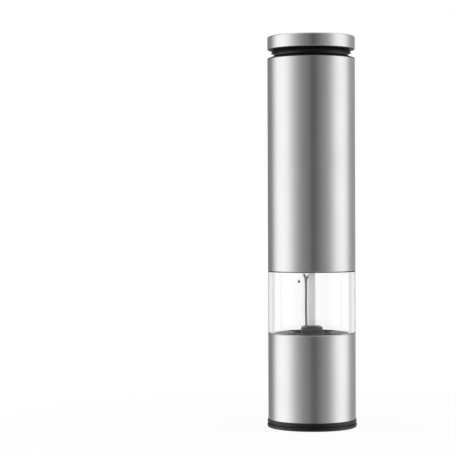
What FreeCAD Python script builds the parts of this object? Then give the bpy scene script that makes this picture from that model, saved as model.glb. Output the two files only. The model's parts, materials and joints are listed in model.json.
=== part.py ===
import FreeCAD, Part
import math
import os

from FreeCAD import Vector

# Battery pepper mill, in millimetres: a slim steel cylinder that stands on its base cap.
# +Z is up, and the origin is the centre of the face that it rests on. The front faces -Y.
# From the bottom: base cap, grinder inside the lower sleeve, clear pepper chamber,
# drive unit inside the upper sleeve, and a push cap that closes the switch.

# ---- driving dimensions -------------------------------------------------------------------
TUBE_R = 25.0            # outer radius of both steel sleeves and of the clear band
TUBE_WALL = 0.6
BASE_CAP_H = 2.1         # lower black tier, the removable base cap
GROOVE_H = 0.6           # shadow groove between the two black tiers
BASE_RING_H = 1.9        # upper black tier, fixed to the grinder
LOWER_LEN = 49.0         # lower steel sleeve
WINDOW_LEN = 35.3        # clear band that shows
SEAM_H = 0.4             # black hairline under the upper sleeve
UPPER_LEN = 120.9        # upper steel sleeve
NECK_GAP = 5.5           # black waist under the push cap
CAP_H = 7.3              # steel push cap
SHAFT_SIDE = 4.0         # square drive shaft
RUN_GAP = 0.05           # radial clearance of a turning fit
TUBE_BORE_R = TUBE_R - TUBE_WALL
FIT_R = TUBE_BORE_R - 0.05   # what is pressed into a sleeve

# ---- heights, from the floor up -----------------------------------------------------------
Z_RING = BASE_CAP_H + GROOVE_H
Z_LOWER = Z_RING + BASE_RING_H
Z_WINDOW = Z_LOWER + LOWER_LEN
Z_UNIT = Z_WINDOW + WINDOW_LEN
Z_UPPER = Z_UNIT + SEAM_H
Z_NECK = Z_UPPER + UPPER_LEN
Z_CAP = Z_NECK + NECK_GAP
Z_TOP = Z_CAP + CAP_H

# ---- chamber and light conduit ------------------------------------------------------------
CHAMBER_BORE_R = 21.5
SPIGOT_R = 23.2          # upper end of the chamber, inside the drive unit's skirt
SPIGOT_H = 5.0
KEY_ANGLES = (60.0, 180.0, 300.0)
CONDUIT_AT = (-3.0, 18.3)    # centre of the wire conduit, behind the shaft
CONDUIT_R = 2.3
CONDUIT_BORE_R = 1.5
HEAD_R = 2.9
PIN_OFFSET = 1.7
WIRE_R = 0.55
WIRE_OFFSET = 0.75
Z_CONDUIT = 51.4         # foot of the conduit, on the grinder housing's wire tower
Z_HEAD = Z_UNIT - 3.7
Z_COVER = 90.2           # underside of the drive unit's plug
PAD_H = 0.25

# ---- grinder ------------------------------------------------------------------------------
STATOR_R = 15.0
Z_STATOR = 16.0
STATOR_H = 12.0
ROTOR_BORE_R = 3.6
Z_CLIP = 44.0            # spring clip on the shaft
Z_BRIDGE = 53.2          # top of the feed bridge beside the hub
LAMP_RADIUS = 18.5       # place of the two lamps under the grinder
LAMP_ANGLES = (0.0, 180.0)
BASE_SCREW_RADIUS = 20.2
BASE_SCREW_ANGLES = (30.0, 150.0, 270.0)

# ---- gearbox: two planetary stages in one ring --------------------------------------------
MODULE = 0.6
SUN_TEETH = 12
PLANET_TEETH = 18
RING_TEETH = SUN_TEETH + 2 * PLANET_TEETH
PRESSURE_ANGLE = math.radians(20.0)
ADDENDUM = 0.8 * MODULE      # stub teeth, so that the small sun isn't undercut
DEDENDUM = 1.1 * MODULE
FLANK_RELIEF = 0.03          # each flank stands this far back from the pitch line
FLANK_STEPS = 4
ORBIT_R = MODULE * (SUN_TEETH + PLANET_TEETH) / 2
PLANET_PIN_R = 1.6
GEARCASE_R = 19.0
Z_DECK = 94.6                # floor of the drive unit's chassis
DECK_H = 1.6
Z_GEARCASE = Z_DECK + DECK_H
Z_STAGE_2 = 102.0
Z_STAGE_1 = 111.4
STAGE_2_H = 6.0
STAGE_1_H = 4.4
Z_MOTOR_PLATE = 117.0
Z_MOTOR = 118.2
GEAR_SCREW_RADIUS = 17.2

# ---- battery holder and switch ------------------------------------------------------------
CELL_R = 5.25                # AAA cell: 10.5 mm across and 44.5 mm long
CELL_LEN = 44.5
CELL_OFFSET = 7.2
HOLDER_R = 24.0
Z_HOLDER = 151.8
DECK_THICK = 2.2
BAY_H = 47.6
Z_BAY = Z_HOLDER + DECK_THICK
Z_HOLDER_TOP = Z_BAY + BAY_H
Z_BOARD = Z_HOLDER_TOP + 2.0
Z_SWITCH = Z_BOARD + 1.6
Z_STEM = 209.55              # lower end of the push cap's stem
LEG_RADIUS = 14.7            # the push cap's snap legs
LEG_ANGLES = (30.0, 150.0, 270.0)
HOLDER_SCREW_RADIUS = 20.4
HOLDER_SCREW_ANGLES = (45.0, 165.0, 285.0)

ORIGIN = Vector(0, 0, 0)
UP = Vector(0, 0, 1)


# ---- helpers ------------------------------------------------------------------------------
def around(radius, angle):
    """Point on a circle about the axis, as (x, y)."""
    turn = math.radians(angle)
    return radius * math.cos(turn), radius * math.sin(turn)


def outline(items):
    """Closed wire in the XZ plane. An item is a point (r, z), or an arc (r, z, mid r, mid z) to that point."""
    ends = [Vector(i[0], 0, i[1]) for i in items]
    edges = []
    for n, item in enumerate(items):
        begin = ends[n - 1]
        if len(item) == 4:
            middle = Vector(item[2], 0, item[3])
            edges.append(Part.Arc(begin, middle, ends[n]).toShape())
        else:
            edges.append(Part.makeLine(begin, ends[n]))
    return Part.Wire(edges)


def turned(items):
    """Solid of revolution about Z."""
    return Part.Face(outline(items)).revolve(ORIGIN, UP, 360)


def rod(radius, z0, z1, at=(0.0, 0.0)):
    return Part.makeCylinder(radius, z1 - z0, Vector(at[0], at[1], z0))


def ring(outer, inner, z0, z1, at=(0.0, 0.0)):
    return rod(outer, z0, z1, at).cut(rod(inner, z0 - 1, z1 + 1, at))


def bar(size_x, size_y, z0, z1, at=(0.0, 0.0)):
    corner = Vector(at[0] - size_x / 2, at[1] - size_y / 2, z0)
    return Part.makeBox(size_x, size_y, z1 - z0, corner)


def swung(shape, angle):
    """Copy turned about the mill's axis."""
    copy = shape.copy()
    copy.rotate(ORIGIN, UP, angle)
    return copy


def fused(shapes):
    whole = shapes[0]
    for shape in shapes[1:]:
        whole = whole.fuse(shape)
    return whole.removeSplitter()


def cut_all(shape, tools):
    for tool in tools:
        shape = shape.cut(tool)
    return shape


def softened(shape, size, *circles):
    """Rounds the circular edges of the given (radius, height)."""
    edges = []
    for edge in shape.Edges:
        if not isinstance(edge.Curve, Part.Circle):
            continue
        centre = edge.Curve.Center
        on_axis = abs(centre.x) < 1e-6 and abs(centre.y) < 1e-6
        for radius, height in circles:
            if on_axis and abs(edge.Curve.Radius - radius) < 1e-4 and abs(centre.z - height) < 1e-4:
                edges.append(edge)
    return shape.makeFillet(size, edges)


def coil(radius, wire_r, z0, z1, turns, at=(0.0, 0.0)):
    """Compression spring whose wire lies between two heights."""
    rise = z1 - z0 - 2 * wire_r
    path = Part.makeHelix(rise / turns, rise, radius)
    section = Part.Wire(Part.makeCircle(wire_r, Vector(radius, 0, 0), Vector(0, 1, 0)))
    spring = Part.Wire(path).makePipeShell([section], True, True)
    spring.translate(Vector(at[0], at[1], z0 + wire_r))
    return spring


def seats(radius, angles):
    return [around(radius, a) for a in angles]


def screw(at, z_head, head_h, z_tip, shank_r, heading=1):
    """Pan head screw with a crossed recess. heading 1 has its head above, -1 below."""
    far = z_head + heading * head_h
    head = rod(1.9, min(z_head, far), max(z_head, far), at)
    slot_depth = 0.5
    slot_from = far - heading * slot_depth
    low, high = min(slot_from, far), max(slot_from, far)
    cross = fused([bar(2.2, 0.5, low, high, at), bar(0.5, 2.2, low, high, at)])
    shank = rod(shank_r, min(z_tip, z_head), max(z_tip, z_head), at)
    return head.cut(cross).fuse(shank).removeSplitter()


# ---- gears --------------------------------------------------------------------------------
def involute(angle):
    return math.tan(angle) - angle


def half_tooth(teeth, radius, relief):
    """Half angle that a tooth spans at a radius. A negative relief gives the space of a ring gear."""
    pitch_r = MODULE * teeth / 2
    base_r = pitch_r * math.cos(PRESSURE_ANGLE)
    at_pitch = math.pi / 2 / teeth - relief / pitch_r
    opening = math.acos(min(1.0, base_r / radius))
    return at_pitch + involute(PRESSURE_ANGLE) - involute(opening)


def toothed(teeth, r_low, r_high, relief, z0, z1, first=0.0):
    """Prism with involute lobes from r_low to r_high, the first lobe centred at an angle in degrees."""
    base_r = MODULE * teeth / 2 * math.cos(PRESSURE_ANGLE)
    r_start = max(r_low, base_r)
    radii = [r_start + (r_high - r_start) * k / FLANK_STEPS for k in range(FLANK_STEPS + 1)]
    flank = [(r, half_tooth(teeth, r, relief)) for r in radii]
    if r_low < r_start - 1e-6:
        flank.insert(0, (r_low, flank[0][1]))
    points = []
    for n in range(teeth):
        centre = math.radians(first) + 2 * math.pi * n / teeth
        for r, half in flank:
            points.append(Vector(r * math.cos(centre - half), r * math.sin(centre - half), z0))
        for r, half in reversed(flank):
            points.append(Vector(r * math.cos(centre + half), r * math.sin(centre + half), z0))
    face = Part.Face(Part.makePolygon(points + [points[0]]))
    return face.extrude(Vector(0, 0, z1 - z0))


def spur(teeth, z0, z1, first=0.0):
    pitch_r = MODULE * teeth / 2
    return toothed(teeth, pitch_r - DEDENDUM, pitch_r + ADDENDUM, FLANK_RELIEF, z0, z1, first)


def planet(z0, height, number):
    """Planet wheel at its place on the carrier, with a space towards the sun."""
    wheel = spur(PLANET_TEETH, z0, z0 + height, 180.0 / PLANET_TEETH)
    wheel = wheel.cut(rod(PLANET_PIN_R + RUN_GAP, z0 - 1, z0 + height + 1))
    wheel.translate(Vector(ORBIT_R, 0, 0))
    return swung(wheel, 120.0 * number)


def planet_pins(z0, z1):
    return [rod(PLANET_PIN_R, z0, z1, p) for p in seats(ORBIT_R, (0.0, 120.0, 240.0))]


# ---- base cap -----------------------------------------------------------------------------
def base_cap():
    """Removable aroma cap that the mill stands in, with a plug and a seal groove."""
    rim_r = TUBE_R + 0.6
    cap = turned([
        (0, 0.5), (16.5, 0.5), (17.0, 0), (rim_r, 0), (rim_r, BASE_CAP_H), (24.5, BASE_CAP_H),
        (24.5, Z_RING), (21.9, Z_RING), (21.9, 4.0), (21.2, 4.0), (21.2, 5.2), (21.9, 5.2),
        (21.9, 6.4), (20.5, 6.4), (20.5, 1.5), (0, 1.5),
    ])
    cap = softened(cap, 1.0, (rim_r, 0))
    return softened(cap, 0.3, (rim_r, BASE_CAP_H))


def base_cap_seal():
    return Part.makeTorus(21.62, 0.42, Vector(0, 0, 4.6))


# ---- grinder ------------------------------------------------------------------------------
def base_ring():
    """Black foot ring that the lower sleeve stands on."""
    rim_r = TUBE_R + 0.45
    foot = turned([
        (22.1, Z_RING), (rim_r, Z_RING), (rim_r, Z_LOWER), (FIT_R, Z_LOWER), (FIT_R, 12.2), (22.1, 12.2),
    ])
    return softened(foot, 0.3, (rim_r, Z_RING), (rim_r, Z_LOWER))


def steel_sleeve(z0, z1):
    sleeve = ring(TUBE_R, TUBE_BORE_R, z0, z1)
    return softened(sleeve, 0.2, (TUBE_R, z0), (TUBE_R, z1))


def lower_sleeve():
    return steel_sleeve(Z_LOWER, Z_WINDOW)


def mill_housing():
    """Black moulding with the funnel, the stator seat, screw bosses and a tower for the lamp wires."""
    shell = turned([
        (22.5, 12.4), (24.3, 12.4), (24.3, 44.8), (21.2, 44.8), (21.2, Z_CONDUIT), (19.8, Z_CONDUIT),
        (19.8, 46.0), (13.6, 30.0), (13.6, 28.2), (15.1, 28.2), (15.1, 16.1), (17.0, 16.1),
        (17.0, 31.5), (20.6, 41.0), (22.5, 43.2),
    ])
    bosses = [rod(2.2, 14.4, 40.0, p) for p in seats(BASE_SCREW_RADIUS, BASE_SCREW_ANGLES)]
    pilots = [rod(0.9, 14.0, 22.2, p) for p in seats(BASE_SCREW_RADIUS, BASE_SCREW_ANGLES)]
    tower = rod(CONDUIT_R, 40.0, Z_CONDUIT, CONDUIT_AT)
    body = fused([shell, tower] + bosses)
    wire_way = rod(CONDUIT_BORE_R, 13.0, Z_CONDUIT + 1, CONDUIT_AT)
    return cut_all(body, pilots + [wire_way])


def feed_bridge():
    """Domed floor of the chamber: three feed windows between arms that carry the shaft bush."""
    bridge = turned([
        (5.2, 49.6), (7.8, 49.6), (7.8, 51.6), (14.0, 52.6), (21.3, 51.4), (21.3, 52.6),
        (8.0, Z_BRIDGE, 14.4, 54.9), (5.2, Z_BRIDGE),
    ])
    window = Part.makeCylinder(17.4, 10, Vector(0, 0, 47), UP, 78).cut(rod(9.0, 46, 58))
    windows = [swung(window, middle - 39.0) for middle in (30.0, 150.0, 270.0)]
    socket = rod(CONDUIT_R + RUN_GAP, 47, 58, CONDUIT_AT)
    return cut_all(bridge, windows + [socket])


def shaft_bush():
    return ring(5.2, 3.9 + RUN_GAP, 49.6, Z_BRIDGE)


def stator_burr():
    """Ceramic outer burr: a throat that narrows downwards, with upright flutes."""
    z_top = Z_STATOR + STATOR_H
    body = turned([
        (12.9, Z_STATOR), (STATOR_R, Z_STATOR), (STATOR_R, z_top), (13.3, z_top), (12.1, Z_STATOR + 3.0),
    ])
    flutes = [rod(0.7, Z_STATOR - 1, z_top + 1, p) for p in seats(12.9, [n * 18.0 for n in range(20)])]
    return cut_all(body, flutes)


def rotor_burr():
    """Ceramic cone with slanted flutes. It wedges towards the stator as it rises."""
    cone = turned([
        (ROTOR_BORE_R, 14.0), (12.5, 14.0), (12.5, 15.6), (11.7, 18.8), (8.4, 23.0), (5.2, 27.0),
        (ROTOR_BORE_R, 27.0),
    ])
    low, high = Vector(13.2, 0, 13.5), Vector(6.4, 0, 27.5)
    flute = Part.makeCylinder(1.0, 18.0, low - (high - low) * 0.08, high - low)
    flute.rotate(Vector(9.8, 0, 20.0), Vector(1, 0, 0.5), 18.0)
    return cut_all(cone, [swung(flute, n * 30.0) for n in range(12)])


def rotor_core():
    """Square-bored sleeve that carries the ceramic rotor and slides on the shaft."""
    core = turned([(0, 12.4), (6.0, 12.4), (6.0, 14.0), (ROTOR_BORE_R, 14.0), (ROTOR_BORE_R, 28.0), (0, 28.0)])
    bore = bar(SHAFT_SIDE + 0.3, SHAFT_SIDE + 0.3, 12, 29)
    return core.cut(bore)


def bottom_plate():
    """Retainer under the grinder, with lamp windows and the collar that holds the stator up."""
    plate = turned([(13.2, 9.0), (22.0, 9.0), (22.0, 10.4), (15.0, 10.4), (15.0, 15.9), (13.2, 15.9)])
    holes = [rod(1.1, 8, 11, p) for p in seats(BASE_SCREW_RADIUS, BASE_SCREW_ANGLES)]
    windows = [rod(2.5, 8, 11, p) for p in seats(LAMP_RADIUS, LAMP_ANGLES)]
    return cut_all(plate, holes + windows)


def bottom_plate_screws():
    return Part.makeCompound(
        [screw(p, 9.0, 1.0, 22.0, 0.9, -1) for p in seats(BASE_SCREW_RADIUS, BASE_SCREW_ANGLES)])


def lamp_board():
    board = ring(22.0, 17.3, 13.0, 14.2)
    holes = [rod(1.2, 12, 15, p) for p in seats(BASE_SCREW_RADIUS, BASE_SCREW_ANGLES)]
    return cut_all(board, holes)


def lamps():
    """Two small lamps that shine down through the windows, each with a domed tip."""
    made = []
    for x, y in seats(LAMP_RADIUS, LAMP_ANGLES):
        body = rod(1.5, 11.9, 13.0, (x, y))
        tip = Part.makeSphere(1.5, Vector(x, y, 11.95))
        made.append(body.fuse(tip.common(rod(2.0, 10.0, 11.95, (x, y)))).removeSplitter())
    return Part.makeCompound(made)


def lamp_windows():
    return Part.makeCompound([rod(2.5, 9.0, 10.4, p) for p in seats(LAMP_RADIUS, LAMP_ANGLES)])


# ---- chamber ------------------------------------------------------------------------------
def chamber():
    """Clear thick-walled cylinder with keyways in its upper spigot."""
    z_spigot = Z_UNIT + SPIGOT_H
    body = turned([
        (CHAMBER_BORE_R, 45.0), (24.3, 45.0), (24.3, Z_WINDOW), (TUBE_R, Z_WINDOW), (TUBE_R, Z_UNIT),
        (SPIGOT_R, Z_UNIT), (SPIGOT_R, z_spigot), (CHAMBER_BORE_R, z_spigot),
    ])
    keyway = bar(2.0, 3.0, Z_UNIT, z_spigot + 1, (23.3, 0))
    return cut_all(body, [swung(keyway, a) for a in KEY_ANGLES])


def conduit_tube():
    """Clear wire conduit with a flared head that carries the two contact pins."""
    tube = rod(CONDUIT_R, Z_CONDUIT, Z_HEAD, CONDUIT_AT)
    head = rod(HEAD_R, Z_HEAD, Z_HEAD + 3.4, CONDUIT_AT)
    bore = rod(CONDUIT_BORE_R, Z_CONDUIT - 1, Z_HEAD + 0.5, CONDUIT_AT)
    pocket = rod(2.5, Z_HEAD + 0.4, Z_HEAD + 1.8, CONDUIT_AT)
    pin_holes = [rod(0.6, Z_HEAD + 1, Z_HEAD + 5, p) for p in pin_places()]
    return cut_all(fused([tube, head]), [bore, pocket] + pin_holes)


def pin_places():
    x, y = CONDUIT_AT
    return [(x - PIN_OFFSET, y), (x + PIN_OFFSET, y)]


def conduit_wires():
    """Two insulated wires from the contact pins down to the lamp board."""
    x, y = CONDUIT_AT
    z_link = Z_HEAD + 1.0
    made = []
    for pin, side in zip(pin_places(), (-1, 1)):
        wire_at = (x, y + side * WIRE_OFFSET)
        start = Vector(wire_at[0], wire_at[1], z_link)
        reach = Vector(pin[0], pin[1], z_link) - start
        link = Part.makeCylinder(0.38, reach.Length, start, reach)
        made.append(rod(WIRE_R, 14.2, z_link + 0.6, wire_at).fuse(link).removeSplitter())
    return Part.makeCompound(made)


def contact_pins():
    z0, z1 = Z_HEAD + 1.38, Z_COVER - PAD_H - 0.05
    pins = [softened_tip(rod(0.6, z0, z1, p), 0.25, z1) for p in pin_places()]
    return Part.makeCompound(pins)


def softened_tip(pin, size, z_tip):
    tips = [e for e in pin.Edges if isinstance(e.Curve, Part.Circle) and abs(e.Curve.Center.z - z_tip) < 1e-6]
    return pin.makeFillet(size, tips)


# ---- drive shaft --------------------------------------------------------------------------
def drive_shaft():
    """Square bar with a round threaded end for the adjuster and a groove for the spring clip."""
    square = bar(SHAFT_SIDE, SHAFT_SIDE, 17.0, 100.0)
    upright = [e for e in square.Edges if abs(e.BoundBox.ZLength - 83.0) < 1e-6]
    square = square.makeFillet(0.3, upright)
    stud = rod(2.0, 6.9, 17.0)
    groove = ring(4.0, 1.9, Z_CLIP, Z_CLIP + 0.8)
    return fused([square.cut(groove), stud])


def agitator():
    """Stirrer on the shaft: a bossed disc over four paddles, with a journal that runs in the bush."""
    hub = turned([
        (0, 48.8), (3.9, 48.8), (3.9, 53.4), (4.8, 53.5), (4.8, 55.4), (6.25, 55.5), (6.25, 56.3),
        (5.9, 56.5), (3.3, 58.0), (0, 58.0),
    ])
    reach = 7.3
    width = 3.0
    paddle = fused([
        bar(reach - width / 2, width, 53.5, 55.6, ((reach - width / 2) / 2, 0)),
        rod(width / 2, 53.5, 55.6, (reach - width / 2, 0)),
    ])
    slope = bar(20, 20, 54.6, 60)
    slope.rotate(Vector(0, 0, 54.6), Vector(1, 0, 0), 20.0)
    paddle = paddle.cut(slope)
    body = fused([hub] + [swung(paddle, 31.0 + 90.0 * n) for n in range(4)])
    return body.cut(bar(SHAFT_SIDE + 0.1, SHAFT_SIDE + 0.1, 48, 59))


def shaft_clip():
    """Open washer in the shaft's groove: the upper seat of the burr spring."""
    washer = ring(5.0, 1.9, Z_CLIP, Z_CLIP + 0.8)
    return washer.cut(bar(6.0, 2.6, Z_CLIP - 1, Z_CLIP + 2, (3.0, 0)))


def burr_spring():
    return coil(4.2, 0.4, 28.0, Z_CLIP, 7)


def adjust_knob():
    """Finger wheel on the threaded end of the shaft that sets how fine the mill grinds."""
    wheel = softened(rod(9.0, 7.2, 12.2), 0.6, (9.0, 7.2), (9.0, 12.2))
    grips = [rod(1.4, 6, 14, p) for p in seats(9.8, [n * 30.0 for n in range(12)])]
    pocket = hexagon(6.4, 6, 14)
    return cut_all(wheel, grips + [pocket])


def hexagon(across_flats, z0, z1):
    radius = across_flats / math.sqrt(3)
    corners = [Vector(*around(radius, 60.0 * n + 30.0), z0) for n in range(6)]
    face = Part.Face(Part.makePolygon(corners + [corners[0]]))
    return face.extrude(Vector(0, 0, z1 - z0))


def knob_nut():
    return hexagon(6.4, 8.0, 12.2).cut(rod(2.0 + RUN_GAP, 7, 14))


# ---- drive unit ---------------------------------------------------------------------------
def motor_chassis():
    """Black carrier of the gearbox and motor, with the keyed skirt that sits over the chamber."""
    shell = turned([
        (23.4, Z_UNIT), (TUBE_R - 0.1, Z_UNIT), (TUBE_R - 0.1, Z_UPPER), (24.2, Z_UPPER), (24.2, Z_HOLDER),
        (22.6, Z_HOLDER), (22.6, Z_GEARCASE), (5.6, Z_GEARCASE), (5.6, Z_DECK), (23.4, Z_DECK),
    ])
    key = bar(1.1, 2.6, Z_UNIT + 0.2, Z_DECK, (23.05, 0))
    bosses = [rod(2.2, 138.0, Z_HOLDER, p) for p in seats(HOLDER_SCREW_RADIUS, HOLDER_SCREW_ANGLES)]
    pilots = [rod(0.9, 139.8, Z_HOLDER + 1, p) for p in seats(HOLDER_SCREW_RADIUS, HOLDER_SCREW_ANGLES)]
    body = fused([shell] + [swung(key, a) for a in KEY_ANGLES] + bosses)
    opening = fused([
        bar(18.0, 60.0, 106.0, 130.0),
        Part.makeCylinder(9.0, 60.0, Vector(0, -30, 106.0), Vector(0, 1, 0)),
        Part.makeCylinder(9.0, 60.0, Vector(0, -30, 130.0), Vector(0, 1, 0)),
    ])
    return cut_all(body, pilots + [opening])


def motor_cover():
    """Plug that closes the chamber's mouth, with a groove for its seal."""
    return turned([
        (5.6, Z_COVER), (21.2, Z_COVER), (21.2, 91.6), (20.2, 91.6), (20.2, 93.0), (21.2, 93.0),
        (21.2, Z_DECK), (5.6, Z_DECK),
    ])


def plug_seal():
    return Part.makeTorus(20.82, 0.6, Vector(0, 0, 92.3))


def contact_pads():
    return Part.makeCompound([rod(1.3, Z_COVER - PAD_H, Z_COVER, p) for p in pin_places()])


def gearbox_base():
    plate = ring(GEARCASE_R, 6.2, Z_GEARCASE, 98.8)
    holes = [rod(1.0, 97.0, 99.0, p) for p in gear_screw_places()]
    return cut_all(plate, holes)


def gear_screw_places():
    return seats(GEAR_SCREW_RADIUS, (90.0, 210.0, 330.0))


def output_bush():
    return ring(6.2, 5.0 + RUN_GAP, Z_GEARCASE, 98.8)


def ring_gear():
    """Fixed internal gear that both stages run in. It is also the wall of the gearbox."""
    tip_r = MODULE * RING_TEETH / 2 - ADDENDUM
    root_r = MODULE * RING_TEETH / 2 + DEDENDUM
    spaces = toothed(
        RING_TEETH, tip_r, root_r, -FLANK_RELIEF, 98.0, Z_MOTOR_PLATE + 1, 180.0 / RING_TEETH)
    wall = rod(GEARCASE_R, 98.8, Z_MOTOR_PLATE)
    holes = [rod(1.0, 98.0, Z_MOTOR_PLATE + 1, p) for p in gear_screw_places()]
    return cut_all(wall, [spaces] + holes)


def output_carrier():
    """Last carrier of the gearbox, with the square socket that drives the shaft."""
    hub = turned([(0, 91.2), (5.0, 91.2), (5.0, 99.0), (13.2, 99.0), (13.2, 101.6), (0, 101.6)])
    body = fused([hub] + planet_pins(101.6, 108.4))
    return body.cut(bar(SHAFT_SIDE + 0.3, SHAFT_SIDE + 0.3, 90, 100.4))


def stage_1_carrier():
    """First carrier, with the second stage's sun wheel moulded under it."""
    sun = spur(SUN_TEETH, Z_STAGE_2, 108.8)
    plate = rod(13.2, 108.8, 111.0)
    return fused([plate, sun] + planet_pins(111.0, 116.2))


def motor_pinion():
    """First sun wheel on the motor's shaft."""
    wheel = spur(SUN_TEETH, Z_STAGE_1, 116.0)
    return fused([wheel, rod(1.0, 116.0, 124.0)])


def motor_plate():
    plate = ring(GEARCASE_R, 3.1, Z_MOTOR_PLATE, Z_MOTOR)
    holes = [rod(1.0, 116, 119, p) for p in gear_screw_places()]
    return cut_all(plate, holes)


def gearbox_screws():
    return Part.makeCompound([screw(p, Z_MOTOR, 1.2, 97.0, 1.0) for p in gear_screw_places()])


def motor_can():
    """Drawn steel motor body with two flats, a nose in the motor plate and a hole for the shaft."""
    can = softened(rod(12.2, Z_MOTOR, 143.2), 1.2, (12.2, Z_MOTOR))
    flats = [bar(3.0, 40.0, Z_MOTOR + 2, 144.0, (side * 12.0, 0)) for side in (-1, 1)]
    nose = rod(3.0, 116.9, Z_MOTOR)
    return fused([cut_all(can, flats), nose]).cut(rod(1.1, 116, 125))


def motor_end_bell():
    bell = softened(rod(11.9, 143.2, 146.0), 0.6, (11.9, 146.0))
    flats = [bar(3.0, 40.0, 143.0, 147.0, (side * 12.0, 0)) for side in (-1, 1)]
    return cut_all(bell, flats + [rod(3.2, 145.0, 147.0)])


def motor_terminals():
    tabs = []
    for side in (-1, 1):
        tab = bar(0.5, 2.8, 146.0, 149.6, (side * 6.0, 0))
        tabs.append(tab.cut(Part.makeCylinder(0.6, 4, Vector(side * 6.0 - 2, 0, 148.4), Vector(1, 0, 0))))
    return Part.makeCompound(tabs)


# ---- batteries and switch -----------------------------------------------------------------
def cell_places():
    """Cell centres with their sense: 1 has its positive end up."""
    return [
        ((CELL_OFFSET, CELL_OFFSET), 1), ((-CELL_OFFSET, CELL_OFFSET), -1),
        ((-CELL_OFFSET, -CELL_OFFSET), 1), ((CELL_OFFSET, -CELL_OFFSET), -1),
    ]


def battery_holder():
    """Two decks joined by a cross wall, with a half-round cradle behind each cell."""
    decks = [rod(HOLDER_R, Z_HOLDER, Z_BAY), rod(HOLDER_R, Z_HOLDER_TOP, Z_BOARD)]
    walls = [bar(47.0, 3.0, Z_BAY, Z_HOLDER_TOP), bar(3.0, 47.0, Z_BAY, Z_HOLDER_TOP)]
    cradles = []
    for (x, y), _ in cell_places():
        cradle = ring(7.0, CELL_R + 0.25, Z_BAY, Z_HOLDER_TOP, (x, y))
        outward = bar(40.0, 20.0, Z_BAY - 1, Z_HOLDER_TOP + 1, (0, 12.0))
        outward.rotate(ORIGIN, UP, math.degrees(math.atan2(y, x)) - 90.0)
        outward.translate(Vector(x, y, 0))
        cradles.append(cradle.cut(outward))
    body = fused(decks + walls + cradles)
    bays = [rod(CELL_R + 0.25, Z_BAY, Z_HOLDER_TOP, place) for place, _ in cell_places()]
    holes = [rod(1.1, Z_HOLDER - 1, Z_BAY + 1, p) for p in seats(HOLDER_SCREW_RADIUS, HOLDER_SCREW_ANGLES)]
    return cut_all(body, bays + holes)


def battery_plates():
    """Flat contact at each cell's positive end."""
    plates = []
    for place, sense in cell_places():
        z0 = Z_HOLDER_TOP - 0.4 if sense > 0 else Z_BAY
        plates.append(rod(4.0, z0, z0 + 0.4, place))
    return Part.makeCompound(plates)


def battery_cells():
    cells = []
    nub_h = 1.0
    for place, sense in cell_places():
        z0 = Z_HOLDER_TOP - 0.4 - CELL_LEN if sense > 0 else Z_BAY + 0.4
        can_z0 = z0 if sense > 0 else z0 + nub_h
        nub_z0 = z0 + CELL_LEN - nub_h if sense > 0 else z0
        can = rod(CELL_R, can_z0, can_z0 + CELL_LEN - nub_h, place)
        rims = [e for e in can.Edges if isinstance(e.Curve, Part.Circle)]
        cells.append(can.makeFillet(0.4, rims).fuse(rod(1.9, nub_z0, nub_z0 + nub_h, place)).removeSplitter())
    return Part.makeCompound(cells)


def battery_springs():
    """Coil contact at each cell's negative end."""
    space = BAY_H - CELL_LEN - 0.4
    springs = []
    for place, sense in cell_places():
        z0 = Z_BAY if sense > 0 else Z_HOLDER_TOP - space
        springs.append(coil(3.2, 0.3, z0, z0 + space, 3, place))
    return Part.makeCompound(springs)


def holder_screws():
    return Part.makeCompound(
        [screw(p, Z_BAY, 1.2, 140.0, 0.9) for p in seats(HOLDER_SCREW_RADIUS, HOLDER_SCREW_ANGLES)])


def contact_board():
    board = rod(22.0, Z_BOARD, Z_SWITCH)
    notches = [rod(2.0, Z_BOARD - 1, Z_SWITCH + 1, p) for p in seats(22.0, (0.0, 90.0, 180.0, 270.0))]
    return cut_all(board, notches)


def switch_body():
    box = bar(6.2, 6.2, Z_SWITCH, Z_SWITCH + 2.6)
    legs = [bar(1.0, 9.0, Z_SWITCH, Z_SWITCH + 0.4, (side * 2.2, 0)) for side in (-1, 1)]
    return fused([box] + legs).cut(rod(1.7 + RUN_GAP, Z_SWITCH + 0.4, Z_SWITCH + 4))


def switch_actuator():
    return rod(1.7, Z_SWITCH + 2.0, Z_STEM - 0.05)


# ---- upper sleeve and push cap ------------------------------------------------------------
def upper_sleeve():
    return steel_sleeve(Z_UPPER, Z_NECK)


def neck_collar():
    """Black collar in the top of the upper sleeve that guides the push cap."""
    collar = turned([
        (22.6, 204.0), (FIT_R, 204.0), (FIT_R, Z_NECK), (TUBE_R, Z_NECK), (TUBE_R, Z_NECK + 0.4),
        (21.2, Z_NECK + 1.8), (21.2, 215.0), (19.6, 215.0), (19.6, 211.6), (3.7, 211.6), (3.7, 209.6),
        (22.6, 209.6),
    ])
    slot = bar(1.8, 3.4, 209, 212, (LEG_RADIUS, 0))
    return cut_all(collar, [swung(slot, a) for a in LEG_ANGLES])


def cap_shell():
    """Drawn steel cap over the push button."""
    shell = turned([
        (0, Z_TOP), (TUBE_R, Z_TOP), (TUBE_R, Z_CAP), (TUBE_BORE_R, Z_CAP), (TUBE_BORE_R, Z_TOP - 0.8),
        (0, Z_TOP - 0.8),
    ])
    return softened(shell, 0.75, (TUBE_R, Z_TOP))


def button_core():
    """Black inner part of the push cap: flared skirt, stem over the switch and three snap legs."""
    z_roof = Z_TOP - 0.8
    core = turned([
        (0, z_roof), (FIT_R, z_roof), (FIT_R, Z_CAP - 0.35), (21.9, Z_CAP - 0.35), (22.8, 213.6),
        (22.8, 213.4), (21.5, 213.8), (21.5, 220.4), (3.2, 220.4), (3.2, Z_STEM), (0, Z_STEM),
    ])
    hook_at = (LEG_RADIUS + 1.05, 0)
    leg = fused([bar(1.4, 3.0, 208.4, 220.4, (LEG_RADIUS, 0)), bar(0.9, 3.0, 208.4, 209.4, hook_at)])
    return fused([core] + [swung(leg, a) for a in LEG_ANGLES])


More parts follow.
